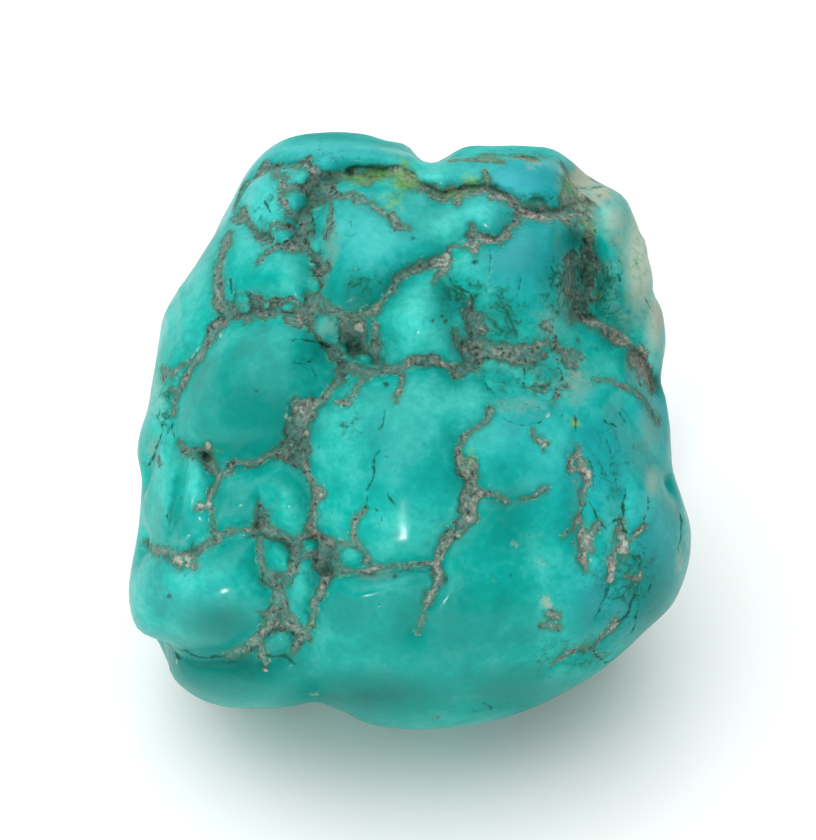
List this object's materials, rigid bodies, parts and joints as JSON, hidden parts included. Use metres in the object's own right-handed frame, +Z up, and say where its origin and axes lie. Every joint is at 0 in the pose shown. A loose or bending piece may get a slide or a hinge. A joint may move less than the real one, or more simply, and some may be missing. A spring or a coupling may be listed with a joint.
{
  "type": "raw turquoise nugget",
  "caption": "Lumpy tumbled turquoise nugget with rounded nodules, recessed grainy matrix veins and a worn flat underside that it rests on.",
  "frame": {"origin": "on the resting surface, under the middle of the stone", "axes": "+Z up; the broad nodular face looks toward -Y and leans back, its normal 50 degrees above the horizon; +X to the right of someone who looks at that face"},
  "size_m": [0.0561, 0.0563, 0.05],
  "materials": {
    "turquoise": "tumbled and waxed turquoise with rough brown-grey matrix in its veins"
  },
  "bodies": {
    "root": {"turquoise_nugget": "turquoise"}
  },
  "joints": []
}
